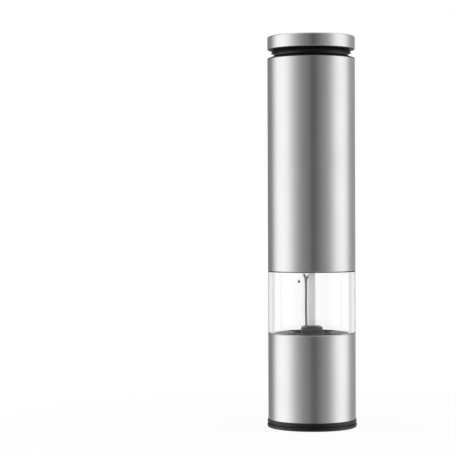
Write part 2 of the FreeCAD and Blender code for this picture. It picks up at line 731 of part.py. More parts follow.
def return_spring():
    return coil(5.6, 0.4, 211.6, 220.4, 5)


# ---- every node ---------------------------------------------------------------------------
def planets(stage, z0, height):
    """The three planet wheels of a stage, by node name."""
    return {f"stage_{stage}_planet_{'abc'[n]}": planet(z0, height, n) for n in range(3)}


PARTS = [
    base_cap, base_cap_seal, base_ring, lower_sleeve, mill_housing, feed_bridge, shaft_bush, stator_burr,
    rotor_burr, rotor_core, bottom_plate, bottom_plate_screws, lamp_board, lamps, lamp_windows, chamber,
    conduit_tube, conduit_wires, contact_pins, drive_shaft, agitator, shaft_clip, burr_spring, adjust_knob,
    knob_nut, motor_chassis, motor_cover, plug_seal, contact_pads, gearbox_base, output_bush, ring_gear,
    output_carrier, stage_1_carrier, motor_pinion, motor_plate, gearbox_screws, motor_can, motor_end_bell,
    motor_terminals, battery_holder, battery_plates, battery_cells, battery_springs, holder_screws,
    contact_board, switch_body, switch_actuator, upper_sleeve, neck_collar, cap_shell, button_core,
    return_spring,
]


def main():
    shapes = {make.__name__: make() for make in PARTS}
    shapes.update(planets(1, Z_STAGE_1, STAGE_1_H))
    shapes.update(planets(2, Z_STAGE_2, STAGE_2_H))
    os.makedirs("parts", exist_ok=True)
    for name, shape in shapes.items():
        solids = shape.Solids
        sound = all(s.isValid() and s.isClosed() and s.Volume > 0 for s in solids)
        if not solids or not sound:
            print("check", name, len(solids), [round(s.Volume, 2) for s in solids])
        shape.exportStep(os.path.join("parts", name + ".step"))
    print(len(shapes), "nodes, height", round(Z_TOP, 2))


main()
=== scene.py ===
import json
import math

import bpy
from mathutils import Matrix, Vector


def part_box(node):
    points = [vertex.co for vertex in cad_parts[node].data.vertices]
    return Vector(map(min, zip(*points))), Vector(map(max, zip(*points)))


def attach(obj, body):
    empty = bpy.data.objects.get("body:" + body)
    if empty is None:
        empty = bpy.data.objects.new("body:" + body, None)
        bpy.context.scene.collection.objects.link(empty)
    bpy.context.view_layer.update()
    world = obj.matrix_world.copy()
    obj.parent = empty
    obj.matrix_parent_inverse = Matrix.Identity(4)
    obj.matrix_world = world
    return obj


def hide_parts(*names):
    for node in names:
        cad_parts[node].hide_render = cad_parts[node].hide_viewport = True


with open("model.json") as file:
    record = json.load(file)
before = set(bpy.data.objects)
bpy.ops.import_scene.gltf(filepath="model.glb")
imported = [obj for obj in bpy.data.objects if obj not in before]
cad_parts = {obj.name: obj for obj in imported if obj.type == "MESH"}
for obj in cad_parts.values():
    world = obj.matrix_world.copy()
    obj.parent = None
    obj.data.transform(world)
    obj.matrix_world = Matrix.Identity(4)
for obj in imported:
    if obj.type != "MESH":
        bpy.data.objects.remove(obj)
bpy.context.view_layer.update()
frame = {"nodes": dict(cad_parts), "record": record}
mm = 0.001
fullTurn = 2 * math.pi
cameraSide = -1  # the front of the mill faces -Y

print("frame loaded:", len(frame["nodes"]), "nodes")


# ---- camera, light and floor

camera = {
    "distance": 945 * mm,
    "height": 123 * mm,
    "lens": 130.1,
    "yaw": 2.9,  # the mill stands to the right of the middle
    "pitch": -0.554,
    "roll": 0.2,
}

studio = {
    # how bright the surroundings are, by the angle round from the front, the right-hand side being positive
    "ring": [(-170, 0.3), (-150, 0.3), (-139, 0.32), (-127, 0.42), (-116, 0.92), (-102, 1.5),
             (-84, 1.56), (-72, 1.5), (-62, 1.28), (-53, 0.98), (-44, 0.7), (-36, 0.54),
             (-28, 0.39), (-20, 0.3), (-11, 0.25), (-5, 0.2), (2, 0.1), (9, 0.105),
             (15, 0.165), (24, 0.26), (34, 0.36), (46, 0.52), (57, 0.84), (69, 1.28),
             (80, 1.47), (96, 1.46), (106, 1.22), (116, 0.78), (128, 0.5), (150, 0.42), (170, 0.4)],
    "ceilingFrom": 0.6,  # above and below these slopes the surroundings turn plain white
    "ceilingFull": 0.92,
    "groundFrom": 0.4,
    "groundFull": 0.8,
    "floorSize": 24.0,
    "floorWhite": 0.93,  # how much of the floor is plain white to the camera, near the mill
    "whiteFrom": 0.03,
    "whiteFull": 0.25,  # metres from the mill where it is all white
    "gapShade": 0.76,  # clear plastic bends some light to grey gaps between the white panels
    "gapFrom": 0.85,
    "gapFull": 0.97,
    "gapDistance": (0.8, 1.0),
}


def makeCamera():
    lens = bpy.data.cameras.new("camera")
    lens.lens = camera["lens"]
    lens.sensor_width = 36
    lens.clip_start = 0.01
    eye = bpy.data.objects.new("camera", lens)
    eye.location = (0, cameraSide * camera["distance"], camera["height"])
    turns = (90 + camera["pitch"], camera["roll"], camera["yaw"])
    eye.rotation_euler = [math.radians(turn) for turn in turns]
    bpy.context.scene.collection.objects.link(eye)
    bpy.context.scene.camera = eye


def addNode(tree, kind, place, **values):
    # values are constants for named inputs, or links from another node's socket
    node = tree.nodes.new(kind)
    node.location = place
    for name, value in values.items():
        socket = node.inputs[name]
        if isinstance(value, bpy.types.NodeSocket):
            tree.links.new(value, socket)
        else:
            socket.default_value = value
    return node


def addMath(tree, operation, place, *terms):
    node = tree.nodes.new("ShaderNodeMath")
    node.operation = operation
    node.location = place
    for socket, value in zip(node.inputs, terms):
        if isinstance(value, bpy.types.NodeSocket):
            tree.links.new(value, socket)
        else:
            socket.default_value = value
    return node.outputs[0]


def addRamp(tree, place, stops, source):
    # stops are (position, grey) or (position, colour)
    node = tree.nodes.new("ShaderNodeValToRGB")
    node.location = place
    elements = node.color_ramp.elements
    while len(elements) < len(stops):
        elements.new(0.5)
    for element, (position, shade) in zip(elements, stops):
        element.position = position
        grey = (shade, shade, shade)
        element.color = (*(shade if isinstance(shade, tuple) else grey), 1)
    tree.links.new(source, node.inputs["Fac"])
    return node.outputs["Color"]


def addRange(tree, place, source, low, high, fromLow=0.3, fromHigh=0.7):
    node = addNode(tree, "ShaderNodeMapRange", place, **{
        "Value": source, "From Min": fromLow, "From Max": fromHigh, "To Min": low, "To Max": high})
    return node.outputs["Result"]


def addGaps(tree, place, x, y):
    # 0 in front of a white panel and 1 in a gap; the panels face along X and Y
    angle = addMath(tree, "ARCTAN2", place, x, y)
    doubled = addMath(tree, "MULTIPLY", place, angle, 2.0)
    wave = addMath(tree, "ABSOLUTE", place, addMath(tree, "SINE", place, doubled))
    return addRange(tree, place, wave, 0.0, 1.0, studio["gapFrom"], studio["gapFull"])


def addPanelShade(tree, place, gap, transmitted):
    # how bright plain white looks: less only where a bent ray meets a gap
    share = addMath(tree, "MULTIPLY", place, gap, transmitted)
    return addRange(tree, place, share, 1.0, studio["gapShade"], 0.0, 1.0)


def makeWorld():
    world = bpy.data.worlds.new("studio")
    world.use_nodes = True
    tree = world.node_tree
    tree.nodes.clear()
    way = addNode(tree, "ShaderNodeTexCoord", (-1400, 0)).outputs["Generated"]
    split = addNode(tree, "ShaderNodeSeparateXYZ", (-1200, 0), Vector=way)
    x, y, z = split.outputs
    angle = addMath(tree, "ARCTAN2", (-1000, 100), x, addMath(tree, "MULTIPLY", (-1100, 0), y, -1.0))
    share = addMath(tree, "MULTIPLY_ADD", (-600, 100), angle, 0.5 / math.pi, 0.5)
    brightest = max(shade for _, shade in studio["ring"])
    stops = [(angle / 360 + 0.5, shade / brightest) for angle, shade in studio["ring"]]
    ringColour = addRamp(tree, (-400, 100), stops, share)
    ceiling = addRange(tree, (-200, -200), z, 0.0, 1.0, studio["ceilingFrom"], studio["ceilingFull"])
    ground = addRange(tree, (-200, -400), z, 0.0, 1.0, -studio["groundFrom"], -studio["groundFull"])
    level = addMath(tree, "MAXIMUM", (0, -300), ceiling, ground)
    ringLight = addNode(tree, "ShaderNodeBackground", (0, 100), Color=ringColour, Strength=brightest)
    plain = addNode(tree, "ShaderNodeBackground", (0, -100), Strength=1.0)
    plain.inputs["Color"].default_value = (1, 1, 1, 1)
    around = addNode(tree, "ShaderNodeMixShader", (200, 0), Fac=level)
    tree.links.new(ringLight.outputs[0], around.inputs[1])
    tree.links.new(plain.outputs[0], around.inputs[2])
    ray = addNode(tree, "ShaderNodeLightPath", (0, 500)).outputs
    seen = addMath(tree, "MAXIMUM", (200, 400), ray["Is Camera Ray"], ray["Is Transmission Ray"])
    shade = addPanelShade(tree, (0, 700), addGaps(tree, (-200, 700), x, y), ray["Is Transmission Ray"])
    white = addNode(tree, "ShaderNodeBackground", (200, 200), Strength=shade)
    white.inputs["Color"].default_value = (1, 1, 1, 1)
    shown = addNode(tree, "ShaderNodeMixShader", (400, 100), Fac=seen)
    tree.links.new(around.outputs[0], shown.inputs[1])
    tree.links.new(white.outputs[0], shown.inputs[2])
    out = addNode(tree, "ShaderNodeOutputWorld", (600, 100))
    tree.links.new(shown.outputs[0], out.inputs["Surface"])
    bpy.context.scene.world = world


def makeFloor():
    deselect()
    bpy.ops.mesh.primitive_plane_add(size=studio["floorSize"], location=(0, 0, 0))
    floor = bpy.context.object
    floor.name = "floor"
    material = bpy.data.materials.new("paleFloor")
    material.use_nodes = True
    tree = material.node_tree
    tree.nodes.clear()
    ray = addNode(tree, "ShaderNodeLightPath", (-600, 300)).outputs
    seen = addMath(tree, "MAXIMUM", (-400, 300), ray["Is Camera Ray"], ray["Is Transmission Ray"])
    where = addNode(tree, "ShaderNodeTexCoord", (-1200, 100)).outputs["Object"]
    away = addNode(tree, "ShaderNodeVectorMath", (-1000, 100))
    away.operation = "LENGTH"
    tree.links.new(where, away.inputs[0])
    fade = addRange(tree, (-800, 100), away.outputs["Value"], studio["floorWhite"], 1.0,
                    studio["whiteFrom"], studio["whiteFull"])
    whiteShare = addMath(tree, "MULTIPLY", (-200, 300), seen, fade)
    matte = addNode(tree, "ShaderNodeBsdfDiffuse", (-200, 100))
    matte.inputs["Color"].default_value = (0.9, 0.9, 0.9, 1)
    far = addRange(tree, (-800, -200), away.outputs["Value"], 0.0, 1.0, *studio["gapDistance"])
    x, y, z = addNode(tree, "ShaderNodeSeparateXYZ", (-1000, -300), Vector=where).outputs
    gap = addMath(tree, "MULTIPLY", (-600, -200), far, addGaps(tree, (-800, -400), x, y))
    shade = addPanelShade(tree, (-400, -200), gap, ray["Is Transmission Ray"])
    white = addNode(tree, "ShaderNodeEmission", (-200, -50), Strength=shade)
    pale = addNode(tree, "ShaderNodeMixShader", (0, 150), Fac=whiteShare)
    tree.links.new(matte.outputs[0], pale.inputs[1])
    tree.links.new(white.outputs[0], pale.inputs[2])
    # metal sees the studio ring through the floor
    clear = addNode(tree, "ShaderNodeBsdfTransparent", (0, -100))
    mixed = addNode(tree, "ShaderNodeMixShader", (200, 100), Fac=ray["Is Glossy Ray"])
    tree.links.new(pale.outputs[0], mixed.inputs[1])
    tree.links.new(clear.outputs[0], mixed.inputs[2])
    out = addNode(tree, "ShaderNodeOutputMaterial", (400, 100))
    tree.links.new(mixed.outputs[0], out.inputs["Surface"])
    floor.data.materials.append(material)


def deselect():
    if bpy.context.object and bpy.context.object.mode != "OBJECT":
        bpy.ops.object.mode_set(mode="OBJECT")
    for piece in bpy.context.selected_objects:
        piece.select_set(False)


bpy.context.scene.view_settings.view_transform = "Standard"
makeCamera()
makeWorld()
makeFloor()
print("stage made")


# ---- materials

def startMaterial(name):
    material = bpy.data.materials.new(name)
    material.use_nodes = True
    tree = material.node_tree
    tree.nodes.clear()
    shader = addNode(tree, "ShaderNodeBsdfPrincipled", (0, 0))
    out = addNode(tree, "ShaderNodeOutputMaterial", (300, 0))
    tree.links.new(shader.outputs[0], out.inputs["Surface"])
    return material, tree, shader


def addNoise(tree, place, scale, detail=2.0, stretch=(1, 1, 1)):
    # noise in the piece's own space; stretch makes it long in some directions
    where = addNode(tree, "ShaderNodeTexCoord", (place[0] - 400, place[1])).outputs["Object"]
    mapping = addNode(tree, "ShaderNodeMapping", (place[0] - 200, place[1]), Vector=where, Scale=stretch)
    noise = addNode(tree, "ShaderNodeTexNoise", place, Vector=mapping.outputs[0], Scale=scale, Detail=detail)
    return noise.outputs["Fac"]


def addBump(tree, place, height, distance):
    node = addNode(tree, "ShaderNodeBump", place, Height=height, Distance=distance, Strength=1.0)
    return node.outputs["Normal"]


def mixColours(tree, place, share, first, second):
    node = tree.nodes.new("ShaderNodeMix")
    node.data_type = "RGBA"
    node.location = place
    tree.links.new(share, node.inputs["Factor"])
    node.inputs["A"].default_value = (*first, 1)
    node.inputs["B"].default_value = (*second, 1)
    return node.outputs["Result"]


brushed = {
    "colour": (0.645, 0.64, 0.636),
    "dull": (0.6, 0.595, 0.592),
    "roughness": (0.27, 0.31),
    "stretchOfShine": 0.8,
    "grainPerMetre": 9000,
    "grainLength": 0.006,
    "grainDepth": 0.0000005,
    "blotch": 60,
}


def makeBrushedSteel():
    # brushed round the tube: the grain is long round it, and the shine is drawn up the axis
    material, tree, shader = startMaterial("brushedSteel")
    grainStretch = (brushed["grainLength"], brushed["grainLength"], 1)
    grain = addNoise(tree, (-900, 0), brushed["grainPerMetre"], 3.0, grainStretch)
    blotch = addNoise(tree, (-900, 300), brushed["blotch"], 4.0, (1, 1, 0.6))
    colour = mixColours(tree, (-500, 300), addRange(tree, (-700, 300), blotch, 0.0, 1.0), brushed["colour"],
                        brushed["dull"])
    tree.links.new(colour, shader.inputs["Base Color"])
    roughness = addRange(tree, (-500, 0), grain, *brushed["roughness"])
    tree.links.new(roughness, shader.inputs["Roughness"])
    tree.links.new(addBump(tree, (-300, -200), grain, brushed["grainDepth"]), shader.inputs["Normal"])
    shader.inputs["Metallic"].default_value = 1
    shader.inputs["Anisotropic"].default_value = brushed["stretchOfShine"]
    shader.inputs["Anisotropic Rotation"].default_value = 0.25
    tangent = tree.nodes.new("ShaderNodeTangent")
    tangent.location = (-300, -400)
    tangent.direction_type = "RADIAL"
    tangent.axis = "Z"
    tree.links.new(tangent.outputs[0], shader.inputs["Tangent"])
    return material


def makeMoulded(name, colour, roughness=0.32, grain=0.000004, grainScale=2600, dust=0.012, shine=0.5):
    # injection-moulded plastic with a faint grain and slow changes of gloss
    material, tree, shader = startMaterial(name)
    fine = addNoise(tree, (-900, -200), grainScale, 2.0)
    slow = addNoise(tree, (-900, 200), 90, 3.0)
    paler = tuple(min(1, c + dust) for c in colour)
    tree.links.new(mixColours(tree, (-500, 300), slow, colour, paler), shader.inputs["Base Color"])
    gloss = addRange(tree, (-500, 0), slow, roughness - 0.05, roughness + 0.07)
    tree.links.new(gloss, shader.inputs["Roughness"])
    tree.links.new(addBump(tree, (-300, -300), fine, grain), shader.inputs["Normal"])
    shader.inputs["Specular IOR Level"].default_value = shine
    return material


def makeMetal(name, colour, roughness=0.3, grainStretch=(1, 1, 1), grainScale=1500, grain=0.000002):
    material, tree, shader = startMaterial(name)
    fine = addNoise(tree, (-900, -200), grainScale, 3.0, grainStretch)
    slow = addNoise(tree, (-900, 200), 120, 2.0)
    darker = tuple(c * 0.86 for c in colour)
    tree.links.new(mixColours(tree, (-500, 300), slow, colour, darker), shader.inputs["Base Color"])
    gloss = addRange(tree, (-500, 0), fine, roughness - 0.06, roughness + 0.08)
    tree.links.new(gloss, shader.inputs["Roughness"])
    tree.links.new(addBump(tree, (-300, -300), fine, grain), shader.inputs["Normal"])
    shader.inputs["Metallic"].default_value = 1
    return material


clear = {"ior": 1.49, "tint": (1.0, 0.998, 1.0)}


def makeClear(name, tint, ior):
    # polished clear acrylic; the gloss is a little uneven where fingers touch
    material, tree, shader = startMaterial(name)
    shader.inputs["Base Color"].default_value = (*tint, 1)
    shader.inputs["Transmission Weight"].default_value = 1
    shader.inputs["IOR"].default_value = ior
    smear = addNoise(tree, (-900, 0), 70, 2.0, (1, 1, 0.35))
    tree.links.new(addRange(tree, (-500, 0), smear, 0.0, 0.03, 0.45, 0.75), shader.inputs["Roughness"])
    return material


def makeRubber():
    return makeMoulded("rubber", (0.02, 0.02, 0.021), 0.62, 0.00001, 1800)


def makeCeramic():
    return makeMoulded("ceramic", (0.78, 0.75, 0.68), 0.42, 0.000012, 2400, 0.03)


def makeBoard():
    # green lacquer over a faint web of tracks
    material, tree, shader = startMaterial("circuitBoard")
    where = addNode(tree, "ShaderNodeTexCoord", (-1100, 0)).outputs["Object"]
    cells = addNode(tree, "ShaderNodeTexVoronoi", (-700, 0), Vector=where, Scale=260.0)
    cells.feature = "DISTANCE_TO_EDGE"
    track = addRange(tree, (-500, 0), cells.outputs["Distance"], 1.0, 0.0, 0.03, 0.07)
    tree.links.new(mixColours(tree, (-300, 100), track, (0.012, 0.09, 0.035), (0.03, 0.17, 0.07)),
                   shader.inputs["Base Color"])
    tree.links.new(addBump(tree, (-300, -200), track, 0.00003), shader.inputs["Normal"])
    shader.inputs["Roughness"].default_value = 0.28
    return material


finishes = {
    "brushed_steel": makeBrushedSteel(),
    "black_plastic": makeMoulded("blackPlastic", (0.008, 0.008, 0.0085), 0.28, dust=0.006, shine=0.34),
    "clear_plastic": makeClear("clearPlastic", clear["tint"], clear["ior"]),
    "satin_steel": makeMetal("satinSteel", (0.78, 0.78, 0.785), 0.36, (1, 1, 0.02), 5000),
    "plated_steel": makeMetal("platedSteel", (0.58, 0.58, 0.56), 0.3),
    "spring_steel": makeMetal("springSteel", (0.5, 0.5, 0.5), 0.24),
    "contact_metal": makeMetal("contactMetal", (0.72, 0.68, 0.6), 0.24),
    "brass": makeMetal("brass", (0.72, 0.53, 0.25), 0.28),
    "bronze": makeMetal("bronze", (0.45, 0.3, 0.18), 0.45, grain=0.000008),
    "ceramic": makeCeramic(),
    "rubber": makeRubber(),
    "gear_plastic": makeMoulded("gearPlastic", (0.72, 0.7, 0.62), 0.38, 0.000004, 2600, 0.03),
    "motor_plastic": makeMoulded("motorPlastic", (0.03, 0.03, 0.032), 0.5, 0.00001),
    "cell_wrap": makeMoulded("cellWrap", (0.16, 0.17, 0.18), 0.22, 0.000001),
    "circuit_board": makeBoard(),
    "switch_plastic": makeMoulded("switchPlastic", (0.07, 0.07, 0.075), 0.42),
    "lamp_lens": makeClear("lampLens", (0.92, 0.94, 0.97), 1.5),
    "wire_cover": makeMoulded("wireCover", (0.27, 0.27, 0.27), 0.4),
}
print("materials made:", len(finishes))

dullBlack = makeMoulded("dullBlackPlastic", (0.012, 0.012, 0.013), 0.42, shine=0.25)  # inside the chamber
glossyBlack = makeMoulded("glossyBlackPlastic", (0.012, 0.012, 0.013), 0.17, shine=0.7)

slotOf = {entry["node"]: entry["material_slot"] for entry in frame["record"]["subparts"]}
for nodeName, node in frame["nodes"].items():
    node.data.materials.clear()
    node.data.materials.append(finishes[slotOf[nodeName]])


# ---- modelling helpers

def finishPiece(piece, name, slot, body, replaced=()):
    piece.name = name
    piece.data.name = name
    piece.data.materials.clear()
    piece.data.materials.append(finishes[slot])
    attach(piece, body)
    if replaced:
        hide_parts(*replaced)
    return piece


def editMode():
    bpy.ops.object.mode_set(mode="EDIT")


def objectMode():
    bpy.ops.object.mode_set(mode="OBJECT")


def drawProfile(points, closed):
    # one vertex is walked round the outline, in millimetres (radius, height, rounding)
    deselect()
    bpy.ops.mesh.primitive_plane_add(size=mm, location=(0, 0, 0))
    piece = bpy.context.object
    editMode()
    bpy.ops.mesh.select_mode(type="VERT")
    bpy.ops.mesh.select_all(action="SELECT")
    bpy.ops.mesh.merge(type="CENTER")
    here = (0, 0)
    for number, point in enumerate(points + points[:1] if closed else points):
        step = ((point[0] - here[0]) * mm, 0, (point[1] - here[1]) * mm)
        if number == 0:
            bpy.ops.transform.translate(value=step)
        else:
            bpy.ops.mesh.extrude_region_move(TRANSFORM_OT_translate={"value": step})
        here = point
    bpy.ops.mesh.select_all(action="SELECT")
    bpy.ops.mesh.remove_doubles(threshold=mm / 1000)
    return piece


def roundCorner(piece, point, segments):
    objectMode()
    for edge in piece.data.edges:
        edge.select = False
    for vertex in piece.data.vertices:
        offset = (vertex.co.x - point[0] * mm, vertex.co.z - point[1] * mm)
        vertex.select = math.hypot(*offset) < mm / 200
    editMode()
    bpy.ops.mesh.bevel(affect="VERTICES", offset=point[2] * mm, segments=segments)


def activate(piece):
    deselect()
    piece.select_set(True)
    bpy.context.view_layer.objects.active = piece


def applyModifier(piece, kind, **values):
    activate(piece)
    modifier = piece.modifiers.new(kind.title(), kind)
    for name, value in values.items():
        setattr(modifier, name, value)
    bpy.ops.object.modifier_apply(modifier=modifier.name)


def smooth(piece, under=32):
    # broad faces keep their own direction, and only the rounded edges turn
    activate(piece)
    bpy.ops.object.shade_smooth_by_angle(angle=math.radians(under))
    applyModifier(piece, "WEIGHTED_NORMAL", keep_sharp=True, weight=50)


def lathe(points, closed=True, steps=144, segments=4, at=(0, 0)):
    piece = drawProfile(points, closed)
    for point in points:
        if len(point) > 2:
            roundCorner(piece, point, segments)
    bpy.ops.mesh.select_all(action="SELECT")
    bpy.ops.mesh.spin(steps=steps, angle=fullTurn, center=(0, 0, 0), axis=(0, 0, 1))
    bpy.ops.mesh.select_all(action="SELECT")
    bpy.ops.mesh.remove_doubles(threshold=mm / 1000)
    bpy.ops.mesh.normals_make_consistent(inside=False)
    bpy.ops.transform.translate(value=(at[0] * mm, at[1] * mm, 0))
    objectMode()
    smooth(piece)
    return piece


def addBlock(size, centre, turn=0.0):
    # a box in millimetres, turned about the mill's axis by degrees
    deselect()
    bpy.ops.mesh.primitive_cube_add(size=mm, location=(0, 0, 0))
    block = bpy.context.object
    editMode()
    bpy.ops.transform.resize(value=size)
    bpy.ops.transform.translate(value=[c * mm for c in centre])
    objectMode()
    block.rotation_euler.z = math.radians(turn)
    bpy.ops.object.transform_apply(location=False, rotation=True, scale=False)
    return block


def joinPieces(pieces):
    activate(pieces[0])
    for piece in pieces[1:]:
        piece.select_set(True)
    if len(pieces) > 1:
        bpy.ops.object.join()
    return pieces[0]


def cutAway(piece, cutters):
    cutter = joinPieces(cutters)
    applyModifier(piece, "BOOLEAN", object=cutter, operation="DIFFERENCE", solver="EXACT")
    bpy.data.objects.remove(cutter)
    smooth(piece)


def bodyOf(node):
    return next(body for body, nodes in frame["record"]["behaviour"]["bodies"].items() if node in nodes)


def refine(node, edge, name):
    # the same piece with its doubles merged and its edges broken, as a mould or a tumbler leaves them
    mesh = frame["nodes"][node].data.copy()
    piece = bpy.data.objects.new(name, mesh)
    bpy.context.scene.collection.objects.link(piece)
    activate(piece)
    editMode()
    bpy.ops.mesh.select_all(action="SELECT")
    bpy.ops.mesh.remove_doubles(threshold=mm / 500)
    bpy.ops.mesh.dissolve_limited(angle_limit=math.radians(1.5))
    objectMode()
    if edge:
        applyModifier(piece, "BEVEL", width=edge * mm, segments=2, limit_method="ANGLE",
                      angle_limit=math.radians(35), miter_outer="MITER_ARC", use_clamp_overlap=True)
    smooth(piece)
    finishPiece(piece, name, slotOf[node], bodyOf(node), [node])


def heights(node):
    # lowest and highest point and radius of a CAD node, in millimetres
    low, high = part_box(node)
    return low.z / mm, high.z / mm, high.x / mm


# ---- steel skins

sleeve = {"wall": 0.6, "edge": 0.22}


def buildSleeve(node, name, body):
    bottom, top, radius = heights(node)
    bore = radius - sleeve["wall"]
    edge = sleeve["edge"]
    piece = lathe([(bore, bottom, edge), (radius, bottom, edge), (radius, top, edge), (bore, top, edge)])
    finishPiece(piece, name, "brushed_steel", body, [node])


buildSleeve("lower_sleeve", "lowerSleeveSkin", "mill")
buildSleeve("upper_sleeve", "upperSleeveSkin", "outer_sleeve")

cap = {"wall": 0.6, "roof": 0.8, "crown": 0.75, "lip": 0.2}


def buildCap():
    bottom, top, radius = heights("cap_shell")
    bore = radius - cap["wall"]
    under = top - cap["roof"]
    piece = lathe([
        (0, top), (radius, top, cap["crown"]), (radius, bottom, cap["lip"]), (bore, bottom, cap["lip"]),
        (bore, under), (0, under),
    ], closed=False, segments=6)
    finishPiece(piece, "capSkin", "brushed_steel", "push_cap", ["cap_shell"])


buildCap()
print("steel skins made")


# ---- black base

baseCap = {"rim": 1.0, "lip": 0.35, "recess": 0.5, "foot": 17.0, "step": 24.5, "plug": 21.9, "groove": 21.2,
           "grooveHeight": 1.2, "shelfDrop": 0.6, "bore": 20.5, "floor": 1.5}
baseRing = {"bore": 22.1, "inside": 24.35, "edge": 0.35}


def buildBaseCap():
    bottom, top, radius = heights("base_cap")
    seam = heights("base_ring")[0]
    shelf = seam - baseCap["shelfDrop"]
    sealLow, sealHigh = heights("base_cap_seal")[:2]
    middle = (sealLow + sealHigh) / 2
    half = baseCap["grooveHeight"] / 2
    piece = lathe([
        (0, bottom + baseCap["recess"]), (baseCap["foot"] - 0.5, bottom + baseCap["recess"]),
        (baseCap["foot"], bottom, 0.2), (radius, bottom, baseCap["rim"]), (radius, shelf, baseCap["lip"]),
        (baseCap["step"], shelf), (baseCap["step"], seam), (baseCap["plug"], seam),
        (baseCap["plug"], middle - half), (baseCap["groove"], middle - half),
        (baseCap["groove"], middle + half), (baseCap["plug"], middle + half),
        (baseCap["plug"], top, 0.4), (baseCap["bore"], top, 0.3), (baseCap["bore"], baseCap["floor"], 0.8),
        (0, baseCap["floor"]),
    ], closed=False, segments=5)
    finishPiece(piece, "baseCapBody", "black_plastic", "base", ["base_cap"])


def buildBaseRing():
    bottom, top, radius = heights("base_ring")
    shelf = heights("lower_sleeve")[0]
    edge = baseRing["edge"]
    piece = lathe([(baseRing["bore"], bottom), (radius, bottom, edge), (radius, shelf, edge),
                   (baseRing["inside"], shelf), (baseRing["inside"], top), (baseRing["bore"], top)])
    finishPiece(piece, "baseRingBody", "black_plastic", "mill", ["base_ring"])


buildBaseCap()
buildBaseRing()
refine("base_cap_seal", 0, "baseSeal")
print("base made")


# ---- clear chamber and its conduit

chamber = {"bore": 21.5, "inSleeve": 24.3, "spigot": 23.2, "spigotHeight": 5.0, "edge": 0.3,
           "keyAngles": (60, 180, 300)}
mark = {"side": -7.1, "height": 4.8, "size": 2.2, "proud": 0.08}
conduit = {"radius": 2.3, "bore": 1.5, "head": 2.9, "headWall": 0.6, "headHeight": 3.4, "pocket": 1.8,
           "flare": 1.6, "wire": 1.3, "wireShift": -0.5}


def buildChamber():
    bottom, top, radius = heights("chamber")
    windowLow = heights("lower_sleeve")[1]
    windowHigh = top - chamber["spigotHeight"]
    piece = lathe([
        (chamber["bore"], bottom), (chamber["inSleeve"], bottom), (chamber["inSleeve"], windowLow),
        (radius, windowLow, chamber["edge"]), (radius, windowHigh, chamber["edge"]),
        (chamber["spigot"], windowHigh), (chamber["spigot"], top, 0.3), (chamber["bore"], top, 0.3),
    ], steps=192)
    middle = (windowHigh + top + 1) / 2
    cutAway(piece, [addBlock((2, 3, top + 1 - windowHigh), (23.3, 0, middle), turn)
                    for turn in chamber["keyAngles"]])
    finishPiece(piece, "chamberWall", "clear_plastic", "mill", ["chamber"])


def buildMark():
    # the small triangle that shows where the drive unit's keys meet
    radius = heights("chamber")[2]
    windowHigh = heights("chamber")[1] - chamber["spigotHeight"]
    deselect()
    bpy.ops.mesh.primitive_circle_add(vertices=3, radius=mark["size"] / math.sqrt(3) * mm, fill_type="NGON")
    piece = bpy.context.object
    editMode()
    bpy.ops.mesh.select_all(action="SELECT")
    bpy.ops.transform.resize(value=(0.8, 1, 1))
    bpy.ops.mesh.extrude_region_move(TRANSFORM_OT_translate={"value": (0, 0, mark["proud"] * mm)})
    bpy.ops.mesh.select_all(action="SELECT")
    bpy.ops.mesh.normals_make_consistent(inside=False)
    objectMode()
    side = math.asin(mark["side"] / radius)
    piece.rotation_euler = (math.radians(90), 0, side)
    place = (radius * math.sin(side), cameraSide * radius * math.cos(side), windowHigh - mark["height"])
    piece.location = [c * mm for c in place]
    bpy.ops.object.transform_apply(location=True, rotation=True, scale=True)
    finishPiece(piece, "alignmentMark", "black_plastic", "mill")


def buildConduit():
    low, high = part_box("conduit_tube")
    at = ((low.x + high.x) / 2 / mm, (low.y + high.y) / 2 / mm)
    bottom, top = low.z / mm, high.z / mm
    radius, bore, head, wall = conduit["radius"], conduit["bore"], conduit["head"], conduit["headWall"]
    shoulder = top - conduit["headHeight"]
    throat = shoulder - conduit["flare"]
    piece = lathe([
        (0, top), (head, top, 0.4), (head, shoulder, 0.3), (radius, throat, 0.8), (radius, bottom),
        (bore, bottom), (bore, throat - wall, 0.6), (head - wall, shoulder + 0.4),
        (head - wall, shoulder + conduit["pocket"]), (0, shoulder + conduit["pocket"]),
    ], closed=False, steps=72, at=at)
    finishPiece(piece, "conduitTube", "clear_plastic", "mill", ["conduit_tube"])


def drawWire(points, thickness):
    # a soft line through listed points, in millimetres, given its round section
    deselect()
    bpy.ops.curve.primitive_nurbs_path_add()
    path = bpy.context.object
    spline = path.data.splines[0]
    if len(points) > len(spline.points):
        spline.points.add(len(points) - len(spline.points))
    for knot, point in zip(spline.points, points):
        knot.co = (point[0] * mm, point[1] * mm, point[2] * mm, 1)
    spline.order_u = 3
    spline.use_endpoint_u = True
    path.data.bevel_depth = thickness / 2 * mm
    path.data.bevel_resolution = 5
    path.data.use_fill_caps = True
    bpy.ops.object.convert(target="MESH")
    return bpy.context.object


def buildWires():
    low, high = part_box("conduit_tube")
    x, y = (low.x + high.x) / 2 / mm, (low.y + high.y) / 2 / mm
    shoulder = high.z / mm - conduit["headHeight"]
    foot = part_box("conduit_wires")[0].z / mm
    left = x + conduit["wireShift"]
    wires = []
    for side in (-1, 1):
        back = y + side * 0.66
        wires.append(drawWire([
            (x + side * 1.7, y, shoulder + 1.7), (x + side * 1.7, y, shoulder + 0.9),
            (x + side * 0.9, y + side * 0.3, shoulder), (left + side * 0.2, back, shoulder - 1.2),
            (left + 0.2, back, shoulder - 5), (left, back, 68), (left + 0.3, back, 52), (x, back, foot),
        ], conduit["wire"]))
    piece = joinPieces(wires)
    smooth(piece, 60)
    finishPiece(piece, "conduitWires", "wire_cover", "mill", ["conduit_wires"])


buildChamber()
buildMark()
buildConduit()
buildWires()
print("chamber made")


# ---- neck

